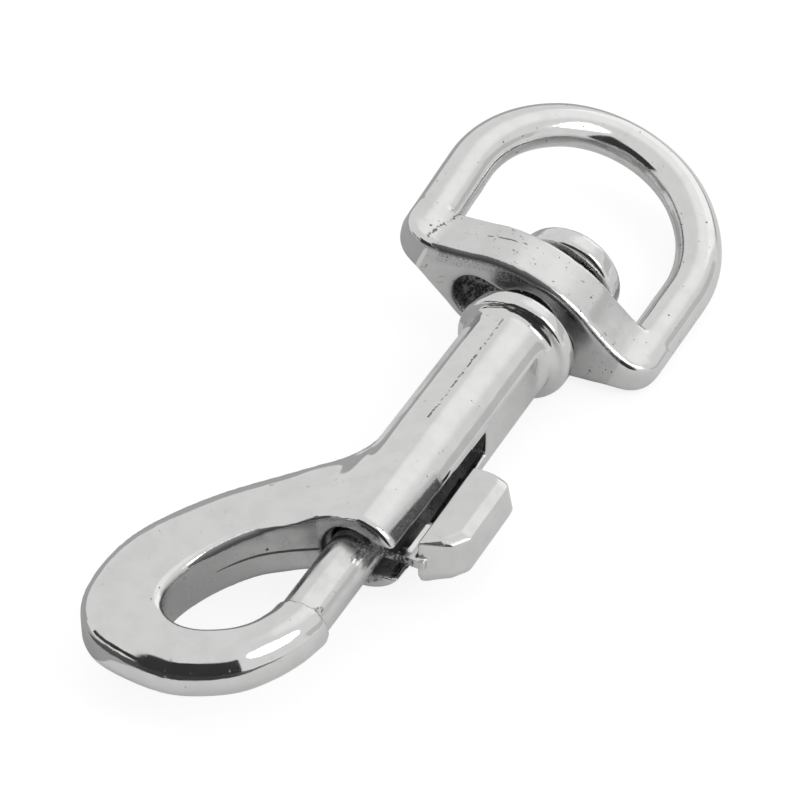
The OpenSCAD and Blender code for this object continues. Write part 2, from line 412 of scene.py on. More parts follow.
@dataclass(frozen=True)
class Datum:
    """Where the barrel axis meets the collar's ring-side face, in the row frame."""

    origin: Vector
    swivel_from_collar: float = 6.0

    @classmethod
    def of(cls, joints: Sequence[dict]) -> "Datum":
        """Reads the datum off the swivel's joint."""
        swivel = next(j for j in joints if j["name"] == "eye_swivel")
        return cls(Vector(swivel["pos_m"]) - Vector((cls.swivel_from_collar * MM, 0, 0)))

    def place(self, obj: Object) -> None:
        """Brings a finished piece from millimetres about the axis into the row frame."""
        obj.data.transform(Matrix.Translation(self.origin) @ Matrix.Scale(MM, 4))
        obj.data.update()

    def point(self, x: float, y: float, z: float) -> Vector:
        """A point given in millimetres about the axis, in the row frame."""
        return self.origin + Vector((x, y, z)) * MM


def dress(obj: Object, finish: Material, body: str, node: str) -> None:
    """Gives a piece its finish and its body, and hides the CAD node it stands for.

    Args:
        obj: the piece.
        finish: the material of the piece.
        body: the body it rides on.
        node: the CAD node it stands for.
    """
    obj.data.materials.clear()
    obj.data.materials.append(finish)
    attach(obj, body)
    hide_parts(node)
    LOG.info("%s: %d faces on body %s", obj.name, len(obj.data.polygons), body)


# ---------------------------------------------------------------- finishes


class Nodes:
    """Short ways to add and join shader nodes in one tree."""

    def __init__(self, tree: NodeTree) -> None:
        """Works on `tree`."""
        self.tree = tree

    def feed(self, target: NodeSocket, value: object) -> None:
        """Links a socket to `target`, or sets its value.

        Args:
            target: the input.
            value: a socket, or a value that suits the input.
        """
        if isinstance(value, NodeSocket):
            self.tree.links.new(value, target)
        else:
            target.default_value = value

    def add(self, kind: str, inputs: dict[str, object] | None = None, **settings: object) -> Node:
        """Adds a node, with its properties set and its named inputs fed.

        Args:
            kind: the node's type.
            inputs: what its named inputs are fed.
            settings: its properties.

        Returns:
            The node.
        """
        node = self.tree.nodes.new(kind)
        for name, value in settings.items():
            setattr(node, name, value)
        for name, value in (inputs or {}).items():
            self.feed(node.inputs[name], value)
        return node

    def over(self, kind: str, values: Sequence[object], **settings: object) -> NodeSocket:
        """The first output of a node whose inputs, in order, are fed the values.

        Args:
            kind: the node's type.
            values: sockets or values, in the order of the inputs.
            settings: its properties.

        Returns:
            The output.
        """
        node = self.add(kind, **settings)
        for socket, value in zip(node.inputs, values):
            self.feed(socket, value)
        return node.outputs[0]

    def math(self, operation: str, *values: object, clamp: bool = False) -> NodeSocket:
        """A Math node over the values, which are sockets or numbers."""
        return self.over("ShaderNodeMath", values, operation=operation, use_clamp=clamp)

    def ramp(self, value: object, *ends: float) -> NodeSocket:
        """Maps a value smoothly from one range to another, 0 to 1 if not given, and holds it beyond."""
        given = (value, *ends, 0.0, 1.0)
        return self.over("ShaderNodeMapRange", given[:5], interpolation_type="SMOOTHSTEP")

    def noise(
        self, vector: NodeSocket, scale: object, detail: float = 3.0, rough: float = 0.55
    ) -> NodeSocket:
        """Noise in 0 to 1, `scale` features to the unit."""
        inputs = {"Vector": vector, "Scale": scale, "Detail": detail, "Roughness": rough}
        return self.add("ShaderNodeTexNoise", inputs).outputs[0]

    def mix(self, share: NodeSocket, first: object, second: object) -> NodeSocket:
        """A mix of two colours, the first where the share is 0.

        Args:
            share: how much of the second, from 0 to 1.
            first: a colour, or a socket that gives one.
            second: the other colour.

        Returns:
            The mixed colour.
        """
        node = self.add("ShaderNodeMix", data_type="RGBA")
        for index, value in ((0, share), (6, first), (7, second)):
            self.feed(node.inputs[index], value)
        return node.outputs[2]

    def show(self, shader: Node) -> None:
        """Makes a shader the material's surface."""
        self.add("ShaderNodeOutputMaterial", {"Surface": shader.outputs[0]})


def new_material(name: str) -> tuple[Material, Nodes]:
    """An empty material, and the nodes of its tree.

    Args:
        name: its name.

    Returns:
        The material and its nodes.
    """
    material = bpy.data.materials.new(name)
    material.use_nodes = True
    material.node_tree.nodes.clear()
    return material, Nodes(material.node_tree)


def plain_material(name: str, kind: str, inputs: dict[str, object]) -> Material:
    """A material of one shader node, with its named inputs set.

    Args:
        name: its name.
        kind: the shader's type.
        inputs: what its named inputs are fed.

    Returns:
        The material.
    """
    material, nodes = new_material(name)
    nodes.show(nodes.add(kind, inputs))
    return material


def shade(color: Sequence[float], by: float = 1.0) -> tuple[float, ...]:
    """An opaque colour, made lighter or darker."""
    return (*(channel * by for channel in color), 1.0)


class Group(Nodes):
    """A shader node group whose first input is a vector."""

    def __init__(self, name: str, inputs: dict[str, float], outputs: Sequence[str]) -> None:
        """Starts the group.

        Args:
            name: the group's name.
            inputs: its number inputs and their usual values.
            outputs: its number outputs.
        """
        tree = bpy.data.node_groups.new(name, "ShaderNodeTree")
        super().__init__(tree)
        tree.interface.new_socket("Vector", in_out="INPUT", socket_type="NodeSocketVector")
        for label, value in inputs.items():
            socket = tree.interface.new_socket(label, in_out="INPUT", socket_type="NodeSocketFloat")
            socket.default_value = value
        for label in outputs:
            tree.interface.new_socket(label, in_out="OUTPUT", socket_type="NodeSocketFloat")
        self.given = self.add("NodeGroupInput").outputs
        self.vector = self.given["Vector"]

    def give(self, **values: NodeSocket) -> NodeTree:
        """Sets the group's outputs and returns its tree."""
        self.add("NodeGroupOutput", values)
        return self.tree


class CastSkin:
    """Node groups for what casting and plating leave on a surface."""

    def __init__(self) -> None:
        """Builds the groups once."""
        self.pits = self._pits()
        self.polish = self._polish()
        self.seam = self._seam()
        self.blots = self._blots()

    @staticmethod
    def _pits() -> NodeTree:
        """Small sparse pits: Mask is 1 in a pit.

        Returns:
            The group's tree.
        """
        pits = Group("cast_pits", {"Scale": 0.9, "Share": 0.25, "Size": 0.09}, ["Mask"])
        share, size = pits.given["Share"], pits.given["Size"]
        place = {"Vector": pits.vector, "Scale": pits.given["Scale"]}
        cells = pits.add("ShaderNodeTexVoronoi", place, feature="F1")
        reach = pits.math("MULTIPLY_ADD", pits.noise(pits.vector, 6.0, 2.0), 0.16, cells.outputs["Distance"])
        pick = pits.add("ShaderNodeSeparateColor", {"Color": cells.outputs["Color"]})
        chosen = pits.math("LESS_THAN", pick.outputs[0], share)
        size = pits.math("MULTIPLY_ADD", pick.outputs[1], size, pits.math("ADD", size, 0.04))
        edge = pits.ramp(pits.math("SUBTRACT", size, reach), -0.01, 0.04)
        return pits.give(Mask=pits.math("MULTIPLY", edge, chosen))

    @staticmethod
    def _blots() -> NodeTree:
        """Crowded rough specks where Amount is high, none where it is 0: Mask is 1 in a speck.

        Returns:
            The group's tree.
        """
        blots = Group("crowded_specks", {"Amount": 0.0}, ["Mask"])
        fine = blots.math("MULTIPLY", blots.noise(blots.vector, 3.4, 5.0, 0.72), 0.62)
        patch = blots.math("MULTIPLY", blots.noise(blots.vector, 0.9, 3.0, 0.6), 0.38)
        level = blots.math("MULTIPLY_ADD", blots.given["Amount"], 0.22, blots.math("ADD", fine, patch))
        return blots.give(Mask=blots.ramp(level, 0.655, 0.70))

    @staticmethod
    def _polish() -> NodeTree:
        """Uneven polish: Height waves gently, Wear varies in cloudy patches, Grain is fine.

        Returns:
            The group's tree.
        """
        polish = Group("uneven_polish", {"Wave": 0.35, "Cloud": 0.5}, ["Height", "Wear", "Grain"])
        return polish.give(
            Height=polish.noise(polish.vector, polish.given["Wave"], 1.5, 0.5),
            Wear=polish.ramp(polish.noise(polish.vector, polish.given["Cloud"], 5.0, 0.5), 0.35, 0.7),
            Grain=polish.noise(polish.vector, 9.0, 4.0, 0.7),
        )

    @staticmethod
    def _seam() -> NodeTree:
        """A broken, pitted line along X where Across is near 0: Mask is 1 on it.

        Returns:
            The group's tree.
        """
        seam = Group("broken_seam", {"Across": 0.0, "Width": 0.1, "Start": -17.5, "End": -2.6}, ["Mask"])
        wander = seam.math("MULTIPLY_ADD", seam.noise(seam.vector, 0.8, 2.0), 0.5, -0.25)
        off = seam.math("ABSOLUTE", seam.math("ADD", seam.given["Across"], wander))
        line = seam.ramp(seam.math("SUBTRACT", seam.given["Width"], off), -0.04, 0.05)
        broken = seam.ramp(seam.noise(seam.vector, 2.6, 3.0, 0.7), 0.47, 0.56)
        along = seam.over("ShaderNodeSeparateXYZ", [seam.vector])
        after = seam.math("GREATER_THAN", along, seam.given["Start"])
        before = seam.math("LESS_THAN", along, seam.given["End"])
        within = seam.math("MULTIPLY", after, before)
        return seam.give(Mask=seam.math("MULTIPLY", seam.math("MULTIPLY", line, broken), within))


class Seam(Enum):
    """Where a finish has a pitted seam."""

    NONE = "none"
    BARREL_TOP = "barrel_top"


@dataclass(frozen=True)
class NickelPlate:
    """Nickel plate over die-cast zinc."""

    name: str
    color: tuple[float, float, float] = (0.64, 0.64, 0.635)
    # Tint of the as-cast surface, which also paints shade on the eye's wall and beside the slot.
    cast_and_shade_color: tuple[float, float, float] = (0.30, 0.30, 0.30)
    # Colour of pits and dark lines, which also paints dark reflections along edge roundings.
    pit_and_reflection_color: tuple[float, float, float] = (0.07, 0.07, 0.07)
    smooth: float = 0.05
    dull: float = 0.12
    cast_rough: float = 0.42
    wave_height: float = 0.035
    grain_height: float = 0.0012
    cast_grain: float = 0.03
    pit_depth: float = 0.02
    pit_share: float = 0.12
    seam: Seam = Seam.NONE
    # How much lighter fresh plate is and how much darker worn plate.
    wear_shades: Point2 = (1.02, 0.96)
    # How dark and how rough a pit, a line or a painted dark reflection is, and how ragged a line's edge.
    mark_share: float = 0.85
    mark_rough: float = 0.4
    line_ragged: float = 0.3

    def build(self, skin: CastSkin, datum: Datum) -> Material:
        """Makes the material.

        Args:
            skin: the node groups for cast and plated surfaces.
            datum: where the barrel axis is, so that the pattern is laid out in millimetres from it.

        Returns:
            The material.
        """
        material, nodes = new_material(self.name)
        spot = nodes.add(
            "ShaderNodeMapping",
            {
                "Location": -datum.origin / MM,
                "Scale": (1 / MM,) * 3,
                "Vector": nodes.add("ShaderNodeTexCoord").outputs["Object"],
            },
        ).outputs[0]

        def effect(group: NodeTree, **inputs: object) -> bpy.types.NodeOutputs:
            """The outputs of a node group laid over the piece."""
            return nodes.add("ShaderNodeGroup", {"Vector": spot, **inputs}, node_tree=group).outputs

        cast, speckle, line_and_reflection_share = (
            nodes.add("ShaderNodeAttribute", attribute_name=name).outputs["Fac"] for name in MARKS
        )
        polish = effect(skin.polish)
        wear, grain = polish["Wear"], polish["Grain"]
        pits = effect(skin.pits, Share=self.pit_share)["Mask"]
        marks = nodes.math("MAXIMUM", pits, effect(skin.blots, Amount=speckle)["Mask"])
        # Dark lines, partly painted dark reflections and painted shade, join the pits here.
        even = nodes.math("SUBTRACT", line_and_reflection_share, self.line_ragged / 2)
        ragged = nodes.math("MULTIPLY_ADD", grain, self.line_ragged, even)
        marks = nodes.math("MAXIMUM", marks, nodes.ramp(ragged, 0.45, 0.58))
        if self.seam is Seam.BARREL_TOP:
            axes = nodes.add("ShaderNodeSeparateXYZ", {"Vector": spot}).outputs
            seam = effect(skin.seam, Across=axes[1])["Mask"]
            on_top = nodes.ramp(axes[2], 3.7, 3.95)
            marks = nodes.math("MAXIMUM", marks, nodes.math("MULTIPLY", seam, on_top))

        fresh, worn = (shade(self.color, by) for by in self.wear_shades)
        uneven = nodes.math("MULTIPLY", cast, nodes.ramp(grain, 0.3, 0.7, 0.65, 1.1), clamp=True)
        # The as-cast tint also paints shade, and the pit colour also paints dark reflections.
        color = nodes.mix(uneven, nodes.mix(wear, fresh, worn), shade(self.cast_and_shade_color))
        color = nodes.mix(nodes.math("MULTIPLY", marks, self.mark_share), color, shade(self.pit_and_reflection_color))
        rough = nodes.ramp(wear, 0.0, 1.0, self.smooth, self.dull)
        rough = nodes.math("MULTIPLY_ADD", cast, self.cast_rough - self.smooth, rough)
        rough = nodes.math("MULTIPLY_ADD", marks, self.mark_rough, rough, clamp=True)
        height = nodes.math("MULTIPLY", polish["Height"], self.wave_height)
        fine = nodes.math("MULTIPLY_ADD", cast, self.cast_grain, self.grain_height)
        height = nodes.math("MULTIPLY_ADD", grain, fine, height)
        height = nodes.math("MULTIPLY_ADD", marks, -self.pit_depth, height)
        bump = nodes.add("ShaderNodeBump", {"Strength": 1.0, "Distance": MM, "Height": height})
        looks = {"Base Color": color, "Metallic": 1.0, "Roughness": rough, "Normal": bump.outputs[0]}
        nodes.show(nodes.add("ShaderNodeBsdfPrincipled", looks))
        return material


@dataclass(frozen=True)
class SpringSteel:
    """Drawn wire with a thin film of oil."""

    name: str = "spring_wire"
    color: tuple[float, float, float] = (0.35, 0.35, 0.36)

    def build(self) -> Material:
        """Makes the material, with fine marks along the draw.

        Returns:
            The material.
        """
        material, nodes = new_material(self.name)
        marks = nodes.noise(nodes.add("ShaderNodeTexCoord").outputs["Object"], 4000.0, 4.0)
        rough = nodes.ramp(marks, 0.3, 0.7, 0.25, 0.5)
        looks = {"Base Color": shade(self.color), "Metallic": 1.0, "Roughness": rough}
        nodes.show(nodes.add("ShaderNodeBsdfPrincipled", looks))
        return material


# ---------------------------------------------------------------- castings


def ramp_up(values: np.ndarray, start: float, width: float) -> np.ndarray:
    """Climbs from 0 at the start to 1 over the width."""
    return np.clip((values - start) / width, 0, 1)


def ramp_down(values: np.ndarray, end: float, width: float) -> np.ndarray:
    """Falls from 1 to 0 at the end over the width."""
    return np.clip((end - values) / width, 0, 1)


def peak(values: np.ndarray, middle: float | np.ndarray, reach: float | np.ndarray) -> np.ndarray:
    """1 at the middle, falling to 0 at the reach on either side."""
    return np.clip(1 - np.abs(values - middle) / reach, 0, 1)


class Casting:
    """What the castings share: where a surface is left as cast, how it is marked, and where shade and dark
    reflections are painted on it.
    """

    def surface(self, at: np.ndarray, facing: np.ndarray) -> Shares:
        """How far each point is left as cast, partly as painted shade, how speckled it is and how near a
        dark line, partly a painted dark reflection.

        Args:
            at: the points, in millimetres in the frame the casting is drawn in.
            facing: their normals.

        Returns:
            The three shares, from 0 to 1.
        """
        raise NotImplementedError

    def mark(self, obj: Object) -> None:
        """Stores the three shares on each vertex.

        Args:
            obj: the casting, still in the frame it is drawn in.
        """
        mesh = obj.data
        at, facing = (np.empty(len(mesh.vertices) * 3) for _ in range(2))
        mesh.vertices.foreach_get("co", at)
        mesh.vertex_normals.foreach_get("vector", facing)
        for name, share in zip(MARKS, self.surface(at.reshape(-1, 3), facing.reshape(-1, 3))):
            values = np.clip(share, 0, 1).astype(np.float32)
            mesh.attributes.new(name, "FLOAT", "POINT").data.foreach_set("value", values)


@dataclass
class BodyCasting(Casting):
    """The hook loop, its arm, the barrel, the collar, the neck and the head, in one casting."""

    barrel_mouth_r: float = 4.6
    barrel_collar_r: float = 4.5
    mouth_x: float = -31.65
    lip_round: float = 0.5
    lower_lip: float = 1.0
    flat_y: float = 3.87
    bore_r: float = 2.42
    mouth_bore_r: float = 2.95
    bore_end: float = -6.0
    # Bottom and radius of the bolt's seat in the tip.
    seat: Point2 = (-41.24, 2.28)
    # Half height of the lever slot along the barrel, from the mouth to its closed end.
    slot_edges: Sequence[Point2] = ((-34.0, 2.35), (-22.6, 1.85), (-13.7, 1.35))
    # The polished planes along the barrel: direction from +y in degrees, and distance from the axis.
    facets: Sequence[Point2] = ((73.5, 4.24), (41.5, 4.2))
    arm_half_t: float = 2.46
    collar_r: float = 5.55
    collar_front: float = 0.2
    neck_r: float = 2.2
    head_r: float = 5.15
    head: Point2 = (8.7, 11.0)
    turned_shift: float = -0.3
    eye_middle: Point2 = (-40.0, 6.0)
    grain: float = 0.19
    # Ribs across the loop: outer x, y, inner x, y, outer rounding, inner rounding, half thickness,
    # how flat the outer rounding is, from 0 for round to 1 for a bevel, and how far the inner wall
    # leans in from top to bottom.
    ribs: Sequence[Sequence[float]] = (
        (-15.5, 2.8, -15.5, -1.0, 0.6, 0.6, 2.4, 1.0, 0.0),
        (-18.95, 3.8, -21.0, -1.0, 0.9, 0.6, 2.45, 1.0, 0.0),
        (-21.3, 4.5, -25.5, -0.8, 0.95, 0.6, 2.5, 1.0, 0.0),
        (-23.1, 5.55, -28.8, 0.3, 0.95, 0.6, 2.5, 1.0, 0.4),
        (-25.22, 7.33, -30.6, 1.9, 0.95, 0.6, 2.5, 1.0, 0.7),
        (-27.52, 9.23, -31.8, 3.7, 0.95, 0.6, 2.5, 1.0, 0.8),
        (-29.43, 10.83, -33.15, 5.65, 0.95, 0.6, 2.5, 1.0, 0.8),
        (-32.04, 12.83, -35.1, 7.55, 0.95, 0.65, 2.5, 1.0, 0.6),
        (-35.75, 15.05, -38.0, 9.15, 0.95, 0.75, 2.5, 1.0, 0.35),
        (-39.6, 16.65, -41.0, 10.3, 0.95, 0.85, 2.5, 0.9, 0.25),
        (-43.8, 17.17, -43.6, 10.65, 1.0, 0.95, 2.5, 0.7, 0.1),
        (-47.95, 16.6, -45.5, 10.15, 1.4, 1.0, 2.5, 0.35, 0.0),
        (-50.88, 14.2, -46.6, 9.05, 1.9, 1.0, 2.5, 0.1, 0.0),
        (-51.9, 10.38, -47.0, 7.65, 2.3, 1.0, 2.5, 0.0, 0.0),
        (-51.9, 6.65, -46.78, 6.2, 2.4, 1.0, 2.5, 0.0, 0.0),
        (-50.8, 3.7, -46.05, 4.75, 2.45, 1.0, 2.5, 0.0, 0.0),
        (-48.93, 1.05, -45.0, 3.6, 2.45, 1.2, 2.5, 0.0, 0.0),
        (-46.45, -0.75, -43.8, 2.95, 2.45, 1.6, 2.5, 0.0, 0.0),
        (-43.85, -1.95, -42.5, 2.6, 2.45, 2.0, 2.5, 0.0, 0.0),
        (-41.7, -2.52, -41.5, 2.5, 2.5, 2.4, 2.5, 0.0, 0.0),
        (-40.65, -2.7, -40.65, 2.5, 2.5, 2.5, 2.5, 0.0, 0.0),
    )
    # Stations of the shoulder: x, y where it leaves the barrel, y where it reaches the arm's face.
    shoulder: Sequence[Sequence[float]] = (
        (-31.6, 1.2, 7.3),
        (-29.5, 1.4, 7.2),
        (-27.5, 1.8, 6.6),
        (-25.6, 2.3, 5.7),
        (-23.8, 2.8, 4.7),
        (-21.5, 3.3, 3.9),
    )

    def loop(self) -> BMesh:
        """The loop and its arm, lofted over the ribs, with an eased end at the tip.

        Returns:
            The shell.
        """
        count = 64
        stations = through(self.ribs, 6)
        eased = list(stations[-1])
        for index, change in enumerate((0.14, 0.2, 0.14, -0.2, 0.0, 0.0, -0.2)):
            eased[index] += change
        skin = Loft(count)
        for ox, oy, ix, iy, outer, inner, half_t, bevel, lean in [*stations, eased]:
            middle = Vector(((ox + ix) / 2, (oy + iy) / 2, 0))
            across = Vector((ox - ix, oy - iy, 0))
            back = (outer * (1 + 0.5 * bevel), outer * (1 - 0.4 * bevel), bevel)
            lower = inner + (0.25 - inner) * min(1.0, 2 * bevel)
            corners = (back, (inner, inner, 0), (lower, lower, 0), back)
            outline = rounded_box(count, across.length / 2, half_t, corners)
            across.normalize()
            rim = []
            for wide, up in outline:
                drawn = lean * (1 - up / half_t) / 2 if wide < 0 else 0.0
                rim.append(middle + across * (wide - drawn) + Vector((0, 0, up)))
            skin.station(rim)
        return skin.close()

    def barrel_radius(self, x: float, angle: float) -> float:
        """Distance of the barrel's surface from its axis.

        Args:
            x: place along the barrel.
            angle: direction from the axis, 0 towards +y and 90 degrees up, in radians.

        Returns:
            The distance, in millimetres.
        """
        along = blend(self.mouth_x, -2.0, x)
        radius = self.barrel_mouth_r + (self.barrel_collar_r - self.barrel_mouth_r) * along
        # The lower lip is a little smaller, and the polished planes run out in a scoop at the collar.
        radius -= 0.22 * blend(-24.0, self.mouth_x, x) * blend(0.2, -0.6, math.sin(angle))
        run_out = blend(-3.9, -2.3, x)
        flat = self.flat_y + 0.7 * run_out**1.5
        lift = 0.2 * blend(-3.0, -1.8, x)
        limits = [radius]
        across, up = math.cos(angle), abs(math.sin(angle))
        if abs(across) > 1e-6:
            limits.append(flat / abs(across))
        for facet, depth in self.facets:
            facing = math.cos(math.atan2(up, across) - math.radians(facet))
            if facing > 0.05:
                limits.append((depth + lift) / facing)
        return min(limits)

    def eased_lip(self, x: float, turns: Sequence[float]) -> list[Point2]:
        """Places behind a lip at x, each with how far the surface draws in there."""
        lip = self.lip_round
        return [(x + lip * (1 - math.cos(t)), lip * (1 - math.sin(t))) for t in turns]

    def barrel(self) -> BMesh:
        """The barrel, with its flats, back planes and scoops, and an eased mouth.

        Returns:
            The shell.
        """
        count = 144
        skin = Loft(count)
        stations = self.eased_lip(self.mouth_x, np.linspace(0, math.pi / 2, 6))
        stations += [(x, 0.0) for x in np.linspace(self.mouth_x + 1.0, -5.2, 14)]
        stations += [(x, 0.0) for x in np.linspace(-5.0, -0.8, 22)]
        for x, ease in stations:
            rim = []
            for i in range(count):
                angle = math.tau * i / count
                radius = self.barrel_radius(x, angle) - ease
                # The lower lip stands back from the upper one.
                set_back = self.lower_lip * blend(0.3, -0.6, math.sin(angle))
                set_back *= blend(-27.0, self.mouth_x, x)
                rim.append((x + set_back, radius * math.cos(angle), radius * math.sin(angle)))
            skin.station(rim)
        return skin.close()

    def shoulders(self) -> BMesh:
        """The metal that eases the round barrel down on to the arm's two flat faces.

        Returns:
            The shell.
        """
        curve = 18
        skin = Loft(2 * curve)
        mouth, *rows = through(self.shoulder, 5)
        lip = self.eased_lip(mouth[0], np.linspace(0, 1.5, 5))
        stations = [([x, *mouth[1:]], ease) for x, ease in lip] + [(row, 0.0) for row in rows]
        direction, depth = self.facets[0]
        slope = math.tan(math.radians(90 - direction))
        radius = depth / math.cos(math.radians(90 - direction))
        for (x, leave, reach), ease in stations:
            height = min(math.sqrt(self.barrel_mouth_r**2 - leave**2), radius - leave * slope)
            width, steep = reach - leave, -slope
            rim = []
            for k in range(curve):
                t = k / (curve - 1)
                fall = (2 * t**3 - 3 * t**2 + 1) * height + (t**3 - 2 * t**2 + t) * width * steep
                y = leave + width * t
                # The front follows the edge of the eye.
                slant = -0.74 * max(0.0, y - 3.1) * blend(-26.5, -31.0, x)
                rim.append((x + slant, y, fall + (3 * t**2 - 2 * t**3) * self.arm_half_t - ease))
            rim += [(along, y, -z) for along, y, z in reversed(rim)]
            skin.station(rim)
        return skin.close()

    def turned_end(self) -> list[BMesh]:
        """The collar, the neck and the head that keeps the eye on.

        Returns:
            The shells.
        """
        front, r = self.collar_front, self.collar_r
        collar = [(-2.4, 0.0), (-2.4, 4.1), (-1.95, 4.42), (-1.78, 4.55), (-1.68, 4.75), (-1.64, 5.05)]
        collar += [(-1.58, r - 0.24), (-1.44, r - 0.09), (-1.22, r)]
        collar += [(front - 0.45, r), (front - 0.2, r - 0.07)]
        collar += [(front - 0.05, r - 0.24), (front, r - 0.48), (front, 0.0)]
        near, far = self.head
        big = self.head_r
        head = [(near - 0.35, 0.0), (near - 0.35, 3.4), (near, big - 0.4), (near + 0.1, big - 0.16)]
        head += [(near + 0.34, big), (far - 0.5, big), (far - 0.2, big - 0.1), (far - 0.05, big - 0.34)]
        head += [(far, big - 0.7), (far, 0.0)]
        shells = [turned(collar), turned(head)]
        for shell in shells:
            bmesh.ops.translate(shell, vec=(0, self.turned_shift, 0), verts=shell.verts)
        return [*shells, rod(front - 1, near + 0.5, self.neck_r, 48)]

    def slot_cutter(self) -> BMesh:
        """The slot's cutter, which widens towards the mouth.

        Returns:
            The shell.
        """
        skin = Loft(4)
        for x, half_h in reversed(self.slot_edges):
            skin.station([(x, 0.0, half_h), (x, -7.0, half_h), (x, -7.0, -half_h), (x, 0.0, -half_h)])
        return skin.close()

    def surface(self, at: np.ndarray, facing: np.ndarray) -> Shares:
        """The bore, the neck and the eye's wall stay as cast, the wall's tint partly painted shade; the wall
        keeps a parting line, painted dark reflections mark the burr under its top edge, and painted shade
        darkens the rough strip by the slot.

        Args:
            at: the points, in millimetres in the frame the casting is drawn in.
            facing: their normals.

        Returns:
            The three shares, from 0 to 1.
        """
        x, y, z = at.T
        near_axis = np.hypot(y, z)
        bore = (near_axis < 3.5) & (x > -31.5) & (x < self.bore_end + 1.5)
        neck = (near_axis < 2.5) & (x > 0.3) & (x < self.head[0])
        to_eye = (self.eye_middle[0] - x) * facing[:, 0] + (self.eye_middle[1] - y) * facing[:, 1]
        inner = (to_eye > 1.0) & (x < -30.5) & (y > 2.0) & (near_axis > 3.0)
        wall = inner & (np.abs(facing[:, 2]) < 0.45)
        mouth = (x < -31.2) & (x > -33.0) & (near_axis < 4.0) & (np.abs(facing[:, 2]) < 0.6)
        # The eye's inner wall takes the as-cast tint: partly rough cast metal, partly painted shade.
        cast = np.where(inner, 0.45 * ramp_down(np.abs(facing[:, 2]), 0.75, 0.4), 0.0)
        cast = np.where(mouth, 0.5, cast)
        cast = np.where(bore | neck, 0.7, cast)
        speckle = np.where(bore | neck, 0.5, 0.12)
        # A rough as-cast strip along the slot's upper edge, clear of the edge itself, darkened further with
        # painted shade.
        slot_edge = np.interp(x, *zip(*self.slot_edges))
        above = z - slot_edge
        rough_and_shaded_band = ramp_up(above, 0.22, 0.08) * ramp_down(above, 1.6, 0.5) * (y < -1.6)
        rough_and_shaded_band *= ramp_up(x, self.mouth_x + 0.3, 0.5) * ramp_down(x, -22.0, 0.7)
        cast = np.maximum(cast, 0.95 * rough_and_shaded_band)
        # Dark lines: the parting line on the eye's wall, and a painted dark reflection at the burr under its
        # top edge.
        parted = ramp_up(x, -39.0, 2.5)
        parting = peak(z, -0.15 - 0.04 * (x + 36), 0.2 * parted + 0.06)
        painted_burr_reach = ramp_up(x, -41.5, 3.0)
        # A painted dark reflection on the top inner rounding, where a burr stands.
        edge = peak(facing[:, 2], 0.5, 0.6 * painted_burr_reach * np.maximum(ramp_down(x, -31.5, 3.0), 0.4) + 0.05)
        line = np.where(inner & (z > 1.0), edge * np.minimum(5 * painted_burr_reach, 1), 0)
        line = np.maximum(line, np.where(wall, parting * np.minimum(5 * parted, 1), 0))
        # The rough strip beside the slot also takes painted shade, as a dark line.
        line = np.maximum(line, 0.56 * rough_and_shaded_band)
        return cast, speckle, line

    def build(self, datum: Datum, finish: Material) -> None:
        """Pours the casting and puts it on the frame.

        Args:
            datum: where the barrel axis is, in the row frame.
            finish: the material of the piece.
        """
        foundry = Foundry("hook_body", self.grain)
        foundry.add(self.loop(), self.barrel(), self.shoulders(), *self.turned_end())
        seat, mouth, wide = self.seat, self.mouth_x, self.mouth_bore_r
        bore = [(seat[0], 0.0), seat, (mouth - 0.4, seat[1]), (mouth - 0.4, wide)]
        bore += [(mouth + 0.9, wide - 0.05), (mouth + 1.1, self.bore_r)]
        bore += [(self.bore_end, self.bore_r), (self.bore_end + 1.2, 0.0)]
        foundry.cut(turned(bore, 64), self.slot_cutter())

        def corner(point: Vector) -> float:
            """1 where the barrel's mouth and the arm meet, falling to 0 round it.

            Args:
                point: a point of the casting.

            Returns:
                The share, from 0 to 1.
            """
            near_axis = math.hypot(point.y, point.z)
            along = blend(-33.5, -31.9, point.x) * (1 - blend(-21.5, -17.5, point.x))
            across = blend(1.0, 2.2, point.y) * (1 - blend(6.2, 8.2, point.y))
            return along * across * blend(2.9, 3.4, near_axis) * (1 if abs(point.z) > 2.2 else 0)

        body = foundry.pour(edges=4, fillet=corner, fillet_steps=60)
        self.mark(body)
        datum.place(body)
        dress(body, finish, "body", "body_casting")


